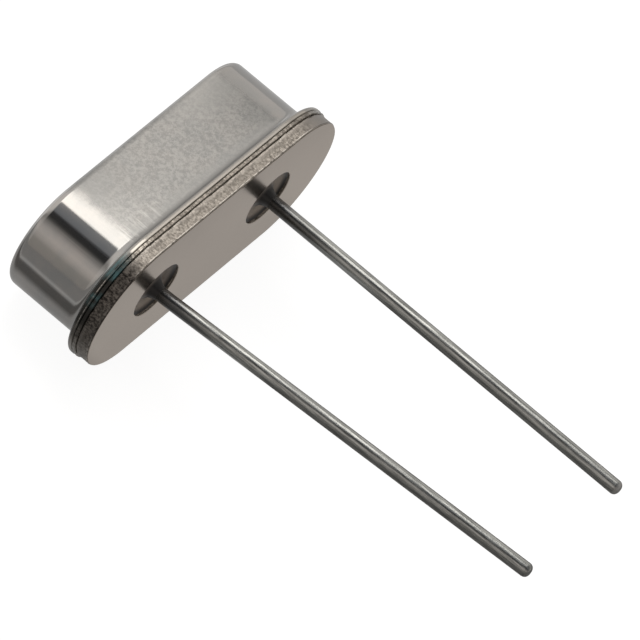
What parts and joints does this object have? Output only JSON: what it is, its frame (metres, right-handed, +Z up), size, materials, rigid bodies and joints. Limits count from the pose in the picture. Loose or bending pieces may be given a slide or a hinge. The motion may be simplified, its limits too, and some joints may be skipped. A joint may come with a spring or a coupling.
{
  "type": "two-lead quartz crystal resonator",
  "caption": "Low-profile quartz crystal unit: round-ended welded metal can on a stamped base, with wire leads through glass seals, for timing circuits.",
  "frame": {"origin": "middle of the part's footprint, on the table that it lies on", "axes": "+Z up from the table, +Y from the lead tips toward the top of the can, +X along the can's long side"},
  "size_m": [0.0106, 0.0162, 0.0047],
  "materials": {
    "can_metal": "satin nickel plate on drawn sheet, smoother on the round ends",
    "base_metal": "satin nickel plate, with a rough sheared edge",
    "seal_glass": "dark glossy sealing glass",
    "lead_wire": "drawn and plated wire",
    "clip_metal": "plated spring strip",
    "quartz": "lapped and etched quartz",
    "electrode_silver": "deposited silver film",
    "conductive_glue": "silver-filled glue, cured"
  },
  "bodies": {
    "root": {"can_cover": "can_metal", "base_plate": "base_metal", "glass_seal_a": "seal_glass", "glass_seal_b": "seal_glass", "lead_a": "lead_wire", "lead_b": "lead_wire", "holder_clip_a": "clip_metal", "holder_clip_b": "clip_metal", "quartz_blank": "quartz", "electrode_top": "electrode_silver", "electrode_bottom": "electrode_silver", "adhesive_a": "conductive_glue", "adhesive_b": "conductive_glue"}
  },
  "joints": []
}
